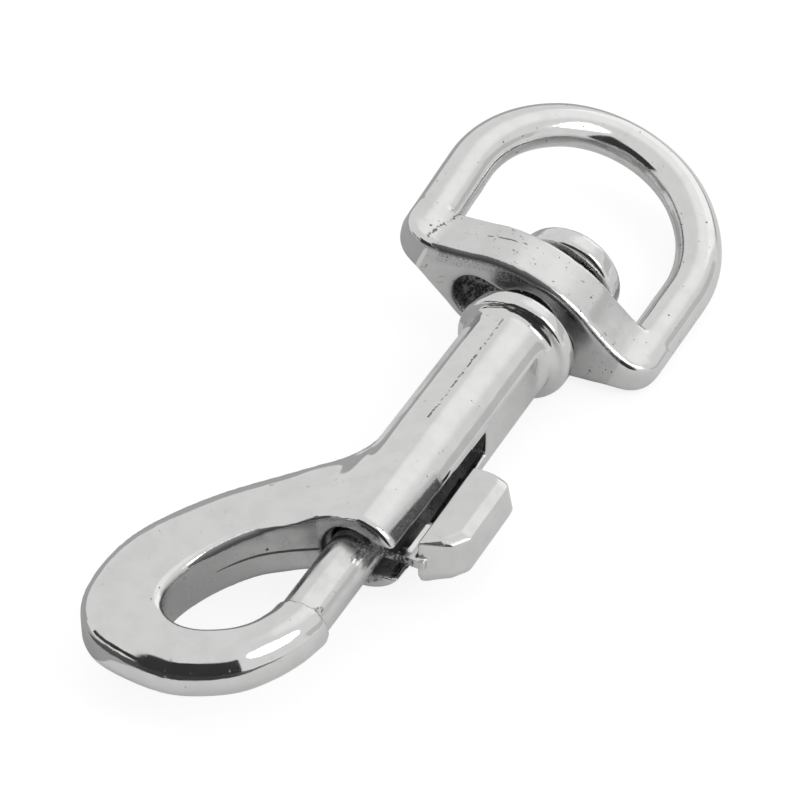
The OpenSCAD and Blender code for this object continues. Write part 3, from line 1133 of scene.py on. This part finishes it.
@dataclass
class SlidingBolt(Casting):
    """The plunger, the web through the slot and the thumb lever, in one casting."""

    radius: float = 2.22
    nose: float = -41.15
    rear: float = -21.0
    flat_at: float = math.radians(104)
    flat_depth: float = 2.08
    web_levels: Point2 = (-0.3, 0.6)
    web: Point2 = (-30.25, -25.4)
    lever: Point2 = (-30.0, -18.65)
    lever_in: float = -5.3
    lever_out: float = -8.95
    lever_half_h: float = 2.35
    oblique: float = 1.5
    grain: float = 0.12

    def plunger(self) -> BMesh:
        """The round plunger, with an eased nose and the spring's pilot.

        Returns:
            The shell.
        """
        nose, rear, r = self.nose, self.rear, self.radius
        profile = [(nose, 0.0), (nose, r - 0.35), (nose + 0.1, r - 0.12), (nose + 0.35, r)]
        profile += [(rear - 0.4, r), (rear - 0.1, r - 0.12), (rear, r - 0.4), (rear, 1.35)]
        profile += [(rear + 1.4, 1.35), (rear + 1.6, 1.1), (rear + 1.6, 0.0)]
        pin = turned(profile, 72)
        flat = Vector((0, math.cos(self.flat_at), math.sin(self.flat_at)))
        shown = [v for v in pin.verts if v.co.x < -31.0]
        for vert in shown:
            over = vert.co.dot(flat) - self.flat_depth
            if over > 0:
                vert.co -= flat * over
        return pin

    def thumb_lever(self) -> BMesh:
        """The lever: a lofted block with an oblique front, a top bevel along its outside and a round foot.

        Returns:
            The shell.
        """
        per = 12
        skin = Loft(5 * per)
        half_h = self.lever_half_h
        # Each level: how far from the bottom or the top, how far the outside and the other sides
        # draw in, and corner rounding.
        below = ((0, 0.8, 0.65, 0.8), (0.1, 0.48, 0.38, 0.75), (0.3, 0.24, 0.18, 0.7))
        below += ((0.65, 0.1, 0.08, 0.65), (1.0, 0.0, 0.0, 0.6))
        above = ((0.55, 0.0, 0.0, 0.5), (0.42, 0.08, 0.0, 0.42), (0.1, 0.75, 0.0, 0.3))
        above += ((0.03, 0.87, 0.06, 0.28), (0, 0.98, 0.16, 0.25))
        levels = [(-half_h + up, *rest) for up, *rest in below]
        levels += [(half_h - down, *rest) for down, *rest in above]
        for z, outside, sides, rounding in levels:
            front, rear = self.lever[0] + sides, self.lever[1] - sides - 0.12 * (z + half_h)
            inside, out = self.lever_in - sides, self.lever_out + outside
            lean = self.oblique
            corners = [(rear, inside, 0.25), (front, inside, 0.2)]
            corners += [(front + lean, out + 1.0, 0.4 + rounding), (front + lean + 1.5, out, 0.4 + rounding)]
            corners += [(rear, out, 0.35 + 1.1 * blend(0.3, half_h, z))]
            skin.station([(*point, z) for point in rounded_polygon(corners, per)])
        return skin.close()

    def web_plate(self) -> list[BMesh]:
        """The flat web between the plunger and the lever, thicker at its root.

        Returns:
            The shells.
        """
        low, high = self.web_levels
        plate = block((self.web[0], self.lever_in - 0.8, low), (self.web[1], -0.5, high))
        root = block((self.web[0] + 0.9, -4.3, low - 0.3), (self.web[1] - 0.5, -0.5, high + 0.12))
        return [plate, root]

    def flash(self) -> list[BMesh]:
        """Crumbs of casting flash left on the plunger beside the mouth.

        Returns:
            The shells.
        """
        crumbs = []
        for x, angle, long, wide in ((-32.9, 140, 1.1, 0.26), (-33.2, 126, 0.8, 0.24)):
            crumb = bmesh.new()
            bmesh.ops.create_icosphere(crumb, subdivisions=2, radius=1.0)
            turn = Matrix.Rotation(math.radians(angle), 4, "X")
            place = turn @ Matrix.Translation((x, self.radius - 0.05, 0))
            size = Matrix.Diagonal((long, 0.2, wide, 1))
            bmesh.ops.transform(crumb, matrix=place @ size, verts=crumb.verts)
            crumbs.append(crumb)
        return crumbs

    def surface(self, at: np.ndarray, facing: np.ndarray) -> Shares:
        """What runs in the barrel stays as cast; the shown end is speckled, and a painted dark reflection
        lies along the lever's front top edge.

        Args:
            at: the points, in millimetres in the frame the casting is drawn in.
            facing: their normals.

        Returns:
            The three shares, from 0 to 1.
        """
        x, y, z = at.T
        angle = np.degrees(np.arctan2(z, y))
        near_axis = np.hypot(y, z)
        top = np.exp(-(((angle - 128) / 30) ** 2)) * (near_axis < 2.6)
        mouth = ramp_up(x, -35.0, 3.0)
        tip = ramp_down(x, -38.6, 1.5)
        hidden = (x > -31.3) & (near_axis < 2.8)
        cast = np.where(hidden, 0.4, 0.08)
        shown = top * np.maximum(0.3, np.maximum(mouth, 0.7 * tip))
        speckle = np.where(x < -31.0, shown, np.where(hidden, 0.75, 0.1))
        web_front = (facing[:, 0] < -0.5) & (y < -2.4) & (y > self.lever_in + 0.15) & (x > -31.3)
        cast, speckle = np.where(web_front, 0.7, cast), np.where(web_front, 0.75, speckle)
        # A painted dark reflection along the lever's front top edge.
        front = ramp_up(y, self.lever_out + 1.2, 0.8) * ramp_down(y, self.lever_in - 0.1, 0.3)
        edge = peak(facing[:, 2], 0.6, 0.42)
        line = np.where((facing[:, 0] < -0.4) & (z > 1.6), edge * front, 0)
        return cast, speckle, line

    def build(self, datum: Datum, finish: Material) -> None:
        """Pours the bolt and puts it on the frame.

        Args:
            datum: where the barrel axis is, in the row frame.
            finish: the material of the piece.
        """
        foundry = Foundry("sliding_bolt", self.grain)
        foundry.add(self.plunger(), self.thumb_lever(), *self.web_plate(), *self.flash())
        bolt = foundry.pour(edges=2)
        self.mark(bolt)
        datum.place(bolt)
        dress(bolt, finish, "bolt", "bolt")


@dataclass
class ReturnSpring:
    """The compression spring behind the bolt."""

    start: float = -20.7
    end: float = -6.3
    coil_r: float = 1.85
    wire_r: float = 0.25
    turns: int = 9

    def build(self, datum: Datum, finish: Material) -> None:
        """Winds the spring from behind the bolt to the end of the bore.

        Args:
            datum: where the barrel axis is, in the row frame.
            finish: the material of the piece.
        """
        bm = bmesh.new()
        place = Matrix.Translation((self.start, 0, self.coil_r)) @ Matrix.Rotation(math.pi / 2, 4, "X")
        wire = bmesh.ops.create_circle(bm, cap_ends=True, segments=12, radius=self.wire_r, matrix=place)
        steps = self.turns * 28
        bmesh.ops.spin(
            bm,
            geom=[*bm.faces, *bm.edges, *wire["verts"]],
            cent=(0, 0, 0),
            axis=(1, 0, 0),
            dvec=((self.end - self.start) / steps, 0, 0),
            angle=math.tau * self.turns,
            steps=steps,
        )
        bmesh.ops.recalc_face_normals(bm, faces=bm.faces)
        spring = object_of(bm, "return_spring")
        shade_smooth(spring)
        datum.place(spring)
        dress(spring, finish, "body", "spring")
        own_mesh(spring)


@dataclass
class SwivelEye(Casting):
    """The D-shaped eye, with its crossbar, boss, neck hole and long pocket."""

    bar_w: float = 2.2
    bar_h: float = 1.85
    dome: float = 2.06
    half_width: float = 11.7
    bow_x: float = 16.0
    shoulder_r: float = 14.5
    shoulder: float = math.radians(47.8)
    flare: float = math.radians(1.87)
    front: float = 2.75
    rear: float = 8.0
    end_v: float = 13.55
    corner_r: float = 3.2
    hole_r: float = 3.1
    hole_off: float = 0.7
    pocket_half: Point2 = (6.2, 2.35)
    pocket_side: float = 0.3
    pocket_drop: float = 1.05
    pocket_depth: float = 1.8
    roll: float = math.radians(20.5)
    # How much deeper the crossbar is below than above, beside the boss.
    belly: float = 0.5
    shift: float = 1.25
    yaw: float = math.radians(1.9)
    pivot_x: float = 6.0
    grain: float = 0.17
    # Half height of the crossbar at distances from its middle.
    heights: Sequence[Point2] = (
        (0.0, 4.85),
        (1.5, 4.78),
        (3.0, 4.55),
        (5.0, 3.98),
        (6.4, 3.3),
        (7.8, 2.68),
        (9.2, 2.12),
        (10.5, 1.84),
        (12.0, 1.7),
        (13.1, 1.4),
        (13.55, 0.85),
    )

    @property
    def place(self) -> Matrix:
        """From the eye's own plane to where it lies on the neck.

        Returns:
            The transform.
        """
        pivot = Matrix.Translation((self.pivot_x, 0, 0))
        lean = pivot @ Matrix.Rotation(self.yaw, 4, "Z") @ Matrix.Translation((-self.pivot_x, self.shift, 0))
        return Matrix.Rotation(self.roll, 4, "X") @ lean

    def path(self) -> list[tuple[Point2, float]]:
        """Places round the bow, from arm to arm, each with its outward direction in plan.

        Returns:
            The places, each as a point and an angle in radians.
        """
        turn = self.flare - self.shoulder
        across = self.half_width - self.shoulder_r * math.cos(self.flare)
        centre = (self.bow_x + self.shoulder_r * math.sin(self.flare), across)
        meet = (centre[0] - self.shoulder_r * math.sin(turn), centre[1] + self.shoulder_r * math.cos(turn))
        end_r = meet[1] / math.cos(turn)
        end_centre = (meet[0] + end_r * math.sin(turn), 0.0)
        quarter = math.pi / 2
        start = 5.2
        drop = (self.bow_x - start) * math.tan(self.flare)
        half = [((start, self.half_width - drop), quarter + self.flare)]
        half += swept_arc(centre, self.shoulder_r, quarter + self.flare, quarter + turn, 14)
        half += swept_arc(end_centre, end_r, quarter + turn, 0.0, 16)[1:]
        return half + [((u, -v), -angle) for (u, v), angle in reversed(half[:-1])]

    def bar_radius(self, angle: float) -> float:
        """Half width of the domed bar in a direction of its section, 0 being outwards in plan.

        Args:
            angle: the direction, in radians.

        Returns:
            The half width, in millimetres.
        """
        power = self.dome
        flat = (abs(math.cos(angle)) / self.bar_w) ** power + (abs(math.sin(angle)) / self.bar_h) ** power
        radius = flat ** (-1 / power)
        # The die's parting ridge is left on the inner side only.
        if math.cos(angle) < 0:
            radius += 0.13 * max(0.0, 1 - abs(radius * math.sin(angle) + 0.1) / 0.32)
        return radius

    def bow(self) -> BMesh:
        """The bar, drawn round the bow.

        Returns:
            The shell.
        """
        count = 96
        skin = Loft(count)
        angles = [math.tau * i / count for i in range(count)]
        bar = [(self.bar_radius(a) * math.cos(a), self.bar_radius(a) * math.sin(a)) for a in angles]
        for (u, v), out in self.path():
            skin.station([(u + wide * math.cos(out), v + wide * math.sin(out), up) for wide, up in bar])
        return skin.close()

    def bar_front(self, v: float) -> float:
        """Where the crossbar's front face stands at distance v from its middle."""
        past = max(0.0, abs(v) - (self.end_v - self.corner_r))
        return self.front + self.corner_r - math.sqrt(max(0.0, self.corner_r**2 - past**2))

    def crossbar(self) -> BMesh:
        """The crossbar, lofted from end to end over the boss.

        Returns:
            The shell.
        """
        count = 56
        skin = Loft(count)
        half = through(self.heights, 4)
        rows = [(-v, height) for v, height in reversed(half)] + half[1:]
        for v, height in rows:
            front = self.bar_front(v)
            half_u, middle = (self.rear - front) / 2, (self.rear + front) / 2
            front_edge, rear_edge = (0.7, 0.7, 0.0), (0.3, 0.3, 0.0)
            outline = rounded_box(count, half_u, height, (rear_edge, front_edge, front_edge, rear_edge))
            deeper = 1 + self.belly * blend(1.0, 3.5, abs(v)) * blend(11.5, 8.5, abs(v)) / height
            skin.station([(middle + wide, v, up * (deeper if up < 0 else 1.0)) for wide, up in outline])
        return skin.close()

    def pocket(self) -> BMesh:
        """The long pocket in the front face.

        Returns:
            The shell.
        """
        count = 48
        skin = Loft(count)
        long, high = self.pocket_half
        for depth, grow in ((-2.0, 0.3), (0.0, 0.12), (0.25, 0.02), (self.pocket_depth, -0.15)):
            outline = rounded_box(count, long + grow, high + grow, [(2.4, 2.4, 0.0)] * 4)
            place = Vector((self.front + depth, self.pocket_side, -self.pocket_drop))
            skin.station([place + Vector((0, *point)) for point in outline])
        return skin.close()

    def surface(self, at: np.ndarray, facing: np.ndarray) -> Shares:
        """The pocket and the hole stay as cast; the crossbar keeps pits, a painted dark reflection along its
        front top edge and a scratch.

        Args:
            at: the points, in millimetres in the frame the casting is drawn in.
            facing: their normals.

        Returns:
            The three shares, from 0 to 1.
        """
        u, v, z = at.T
        long, high = self.pocket_half
        height = np.interp(np.abs(v), *zip(*self.heights))
        within = (u > self.front + 0.2) & (u < self.rear - 0.1) & (np.abs(z) < height - 0.3)
        pocket = within & (np.abs(v - self.pocket_side) < long + 0.2)
        pocket &= np.abs(z + self.pocket_drop) < high + 0.2
        hole = within & (np.hypot(v + self.hole_off, z) < self.hole_r + 0.2)
        inside = pocket | hole
        bar = (u < self.rear + 0.2) & (np.abs(v) < 10.0)
        front = bar & (facing[:, 0] < -0.6)
        cast = np.where(inside, 1.0, np.where(front, 0.35, np.where(bar, 0.1, 0.0)))
        inner = (facing[:, 0] * (14.0 - u) - facing[:, 1] * v > 3.0) & (np.abs(facing[:, 2]) < 0.5) & ~bar
        cast = np.where(inner, 0.12, cast)
        speckle = np.where(inside, 0.8, np.where(bar, 0.26, 0.14))
        # The arm and the crossbar meet in a pitted line on one side.
        joint = np.abs(v - 9.45 - 0.3 * (self.rear - u)) < 0.2
        speckle = np.where(joint & (u > 3.4) & (u < self.rear) & (facing[:, 2] > 0.4), 0.8, speckle)
        # A painted dark reflection under the crossbar's front top edge, and one scratch across its top.
        top = (facing[:, 2] > 0) & bar & (z > 0)
        tapered = ramp_up(v, -4.0, 4.0) * ramp_down(v, 10.5, 1.5)
        edge = peak(facing[:, 0], -0.68, 0.58 * tapered + 0.02)
        scratch = peak(u, 6.1 - 0.16 * (v - 4.5), 0.22 * peak(v, 4.4, 2.4) + 0.02)
        line = np.where(top, np.maximum(edge, 0.9 * scratch * (facing[:, 0] > -0.4)), 0)
        return cast, speckle, line

    def build(self, datum: Datum, finish: Material) -> None:
        """Pours the eye, lays it on the neck and puts it on the frame.

        Args:
            datum: where the barrel axis is, in the row frame.
            finish: the material of the piece.
        """
        foundry = Foundry("swivel_ring", self.grain)
        foundry.add(self.bow(), self.crossbar())
        bore = rod(self.front - 1, self.rear + 1, self.hole_r)
        bmesh.ops.translate(bore, vec=(0, -self.hole_off, 0), verts=bore.verts)
        foundry.cut(self.pocket(), bore)
        eye = foundry.pour(edges=4)
        self.mark(eye)
        eye.data.transform(self.place)
        datum.place(eye)
        dress(eye, finish, "swivel_eye", "swivel_eye")


# ---------------------------------------------------------------- studio


@dataclass
class Studio:
    """Floor, white surroundings, dark flags for the metal to reflect, sheets on the floor that paint shade
    and a dark reflection into the metal's reflections, a lamp and the camera.

    Azimuths are in degrees to the right of the camera, elevations in degrees above the floor.
    """

    elevation: float = math.radians(41.3)
    azimuth: float = math.radians(62.75)
    distance: float = 330.07
    aim_right: float = -10.415
    aim_up: float = -5.455
    lens: float = 165.43
    floor_reach: float = 1.5
    floor_albedo: float = 0.86
    floor_glow: float = 1.08
    lift: float = 0.78
    sheet_z: float = 0.1
    dark: float = 0.045

    def axes(self) -> tuple[Vector, Vector, Vector]:
        """The camera's right, up and backward directions.

        Returns:
            The three directions.
        """
        sin_a, cos_a = math.sin(self.azimuth), math.cos(self.azimuth)
        sin_e, cos_e = math.sin(self.elevation), math.cos(self.elevation)
        back = Vector((-sin_a * cos_e, -cos_a * cos_e, sin_e))
        right = Vector((cos_a, -sin_a, 0.0))
        return right, back.cross(right), back

    def towards(self, azimuth: float, elevation: float) -> Vector:
        """The direction at an azimuth and an elevation.

        Args:
            azimuth: degrees to the right of the camera.
            elevation: degrees above the floor.

        Returns:
            The direction, of length 1.
        """
        _, _, back = self.axes()
        ahead = Vector((back.x, back.y, 0)).normalized()
        flat = Matrix.Rotation(math.radians(azimuth), 4, "Z") @ ahead
        rise = math.radians(elevation)
        return flat * math.cos(rise) + Vector((0, 0, math.sin(rise)))

    def camera(self, datum: Datum) -> None:
        """Sets the camera above the hook's open side.

        Args:
            datum: where the barrel axis is, in the row frame.
        """
        right, up, back = self.axes()
        data = bpy.data.cameras.new("camera")
        data.lens = self.lens
        data.sensor_width = 36.0
        data.clip_start, data.clip_end = 0.01, 10.0
        camera = linked("camera", data)
        spot = back * self.distance + right * self.aim_right + up * self.aim_up
        turn = Matrix((right, up, back)).transposed().to_4x4()
        camera.matrix_world = Matrix.Translation(datum.origin + spot * MM) @ turn
        bpy.context.scene.camera = camera

    @staticmethod
    def seen(nodes: Nodes) -> NodeSocket:
        """1 for rays that show the background: camera, glossy and transmission rays.

        Args:
            nodes: the nodes of the material's tree.

        Returns:
            The share of such rays.
        """
        path = nodes.add("ShaderNodeLightPath")
        total = nodes.math("ADD", path.outputs["Is Camera Ray"], path.outputs["Is Glossy Ray"])
        return nodes.math("ADD", total, path.outputs["Is Transmission Ray"], clamp=True)

    @staticmethod
    def set_up(name: str, bm: BMesh, material: Material, reflected_only: bool = True) -> None:
        """Adds an object that is no part of the hook, as a rule seen only in reflections.

        Args:
            name: its name.
            bm: its shell.
            material: its material.
            reflected_only: whether only reflections show it.
        """
        obj = object_of(bm, name)
        obj.data.materials.append(material)
        if reflected_only:
            obj.visible_camera = False
            obj.visible_shadow = False
            obj.visible_diffuse = False

    def floor(self) -> None:
        """A matt white floor that keeps a soft shadow."""
        bm = bmesh.new()
        bmesh.ops.create_grid(bm, x_segments=1, y_segments=1, size=self.floor_reach)
        material, nodes = new_material("floor_white")
        matt = nodes.add("ShaderNodeBsdfDiffuse", {"Color": shade((self.floor_albedo,) * 3)})
        glow = nodes.add("ShaderNodeEmission", {"Strength": self.floor_glow})
        both = nodes.add("ShaderNodeMixShader")
        share = nodes.math("MULTIPLY", self.seen(nodes), self.lift)
        for socket, value in zip(both.inputs, (share, matt.outputs[0], glow.outputs[0])):
            nodes.feed(socket, value)
        nodes.show(both)
        self.set_up("floor", bm, material, reflected_only=False)

    def spun(self, name: str, profile: Sequence[Vector], azimuths: Point2, material: Material) -> None:
        """A card swept round the object from a profile that stands at the first azimuth.

        Args:
            name: its name.
            profile: its edge at the first azimuth.
            azimuths: its span round the object.
            material: its material.
        """
        bm = bmesh.new()
        line = chain(bm, profile)
        turn = math.radians(azimuths[1] - azimuths[0])
        bmesh.ops.spin(bm, geom=line, cent=(0, 0, 0), axis=(0, 0, 1), angle=turn, steps=24)
        self.set_up(name, bm, material)

    def flag(self, name: str, strength: float, reach: float, azimuths: Point2, elevations: Point2) -> None:
        """A curved card that stands round the object.

        Args:
            name: the card's name.
            strength: how light it is, from 0 to 1 or more.
            reach: its distance from the object, in metres.
            azimuths: its span round the object.
            elevations: its span above the floor.
        """
        material = plain_material(name, "ShaderNodeEmission", {"Strength": strength})
        profile = [self.towards(azimuths[0], e) * reach for e in np.linspace(*elevations, 13)]
        self.spun(name, profile, azimuths, material)

    def sheet(self, name: str, albedo: float, low: Point2, high: Point2) -> None:
        """A matt grey sheet on the floor, seen only in reflections, that paints the floor's shade into them;
        between two opposite corners in millimetres.

        Args:
            name: its name.
            albedo: how light it is, from 0 to 1.
            low: one corner.
            high: the opposite corner.
        """
        material = plain_material(name, "ShaderNodeBsdfDiffuse", {"Color": shade((albedo,) * 3)})
        bm = bmesh.new()
        middle = Vector(((low[0] + high[0]) / 2, (low[1] + high[1]) / 2, self.sheet_z)) * MM
        size = Vector((high[0] - low[0], high[1] - low[1], 1.0)) * (MM / 2)
        place = Matrix.Translation(middle) @ Matrix.Diagonal((*size, 1.0))
        bmesh.ops.create_grid(bm, x_segments=1, y_segments=1, size=1.0, matrix=place)
        self.set_up(name, bm, material)

    def dark_reflection_sheet(self, near: float, far: float, azimuths: Point2) -> None:
        """A dark sheet on the floor below the dark flag, seen only in reflections, which paints a dark
        reflection where the floor is white; between two distances in millimetres.

        Args:
            near: where it starts.
            far: where it ends.
            azimuths: its span round the object.
        """
        looks = {"Base Color": shade((self.dark,) * 3)}
        material = plain_material("dark_reflection_sheet", "ShaderNodeBsdfPrincipled", looks)
        lift = Vector((0, 0, self.sheet_z * 2 * MM))
        profile = [self.towards(azimuths[0], 0.0) * reach * MM + lift for reach in (near, far)]
        self.spun("dark_reflection_sheet", profile, azimuths, material)

    def soft_lamp(self, azimuth: float, elevation: float, reach: float, size: float, power: float) -> None:
        """A round soft lamp that faces the object.

        Args:
            azimuth: where it stands round the object.
            elevation: how high it stands.
            reach: its distance, in metres.
            size: its width, in metres.
            power: its power, in watts.
        """
        data = bpy.data.lights.new("soft_lamp", "AREA")
        data.shape, data.size, data.energy = "DISK", size, power
        away = self.towards(azimuth, elevation)
        turn = away.to_track_quat("Z", "Y").to_matrix().to_4x4()
        linked("soft_lamp", data).matrix_world = Matrix.Translation(away * reach) @ turn

    def world(self) -> None:
        """Even white surroundings, a little brighter high on the right."""
        world = bpy.data.worlds.new("white_room")
        bpy.context.scene.world = world
        world.use_nodes = True
        nodes = Nodes(world.node_tree)
        background = world.node_tree.nodes["Background"]
        background.inputs["Color"].default_value = (1.0, 1.0, 1.0, 1.0)
        way = nodes.add("ShaderNodeTexCoord").outputs["Generated"]
        near = nodes.add("ShaderNodeVectorMath", operation="DOT_PRODUCT")
        nodes.feed(near.inputs[0], way)
        nodes.feed(near.inputs[1], self.towards(136, 47))
        bright = nodes.ramp(near.outputs["Value"], 0.90, 0.995, 0.95, 1.2)
        nodes.feed(background.inputs["Strength"], bright)

    def build(self, datum: Datum) -> None:
        """Builds the whole studio.

        Args:
            datum: where the barrel axis is, in the row frame.
        """
        bpy.context.scene.view_settings.view_transform = "Standard"
        self.world()
        self.floor()
        # Sheets seen only in reflections, painting the floor's shade into them.
        self.sheet("near_shade_sheet", 0.78, (-160, -160), (200, 14))
        self.sheet("far_shade_sheet", 0.45, (-160, 14), (1300, 1400))
        self.flag("dark_flag", self.dark, 0.6, (-54, 27), (0, 47))
        self.flag("low_dark_flag", self.dark, 0.6, (-90, -54), (6, 18))
        self.flag("far_flag", 0.5, 0.9, (130, 250), (0, 6))
        self.flag("bright_card", 1.35, 0.85, (128, 156), (10, 34))
        self.flag("side_flag", 0.7, 0.9, (78, 124), (0, 17))
        # A painted dark reflection on the floor, under the dark flag.
        self.dark_reflection_sheet(58.0, 590.0, (-66, 27))
        self.soft_lamp(62, 42, 0.8, 0.44, 1.4)
        self.camera(datum)


def corners(box: Sequence[Vector]) -> list[list[float]]:
    """The corners of a box as plain lists."""
    return [[float(value) for value in corner] for corner in box]


def main() -> None:
    """Builds every piece round the frame, and the studio."""
    logging.basicConfig(level=logging.INFO, format="%(message)s")
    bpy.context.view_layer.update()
    datum = Datum.of(frame["joints"])
    skin = CastSkin()
    body_plate = NickelPlate("nickel_body", pit_share=0.07, seam=Seam.BARREL_TOP)
    bolt_plate = NickelPlate("nickel_bolt", smooth=0.1, dull=0.24, grain_height=0.003, pit_share=0.25)
    eye_plate = NickelPlate("nickel_eye", smooth=0.07, dull=0.15, pit_share=0.2)
    BodyCasting().build(datum, body_plate.build(skin, datum))
    SlidingBolt().build(datum, bolt_plate.build(skin, datum))
    ReturnSpring().build(datum, SpringSteel().build())
    SwivelEye().build(datum, eye_plate.build(skin, datum))
    Studio().build(datum)


if __name__ == "__main__":
    main()
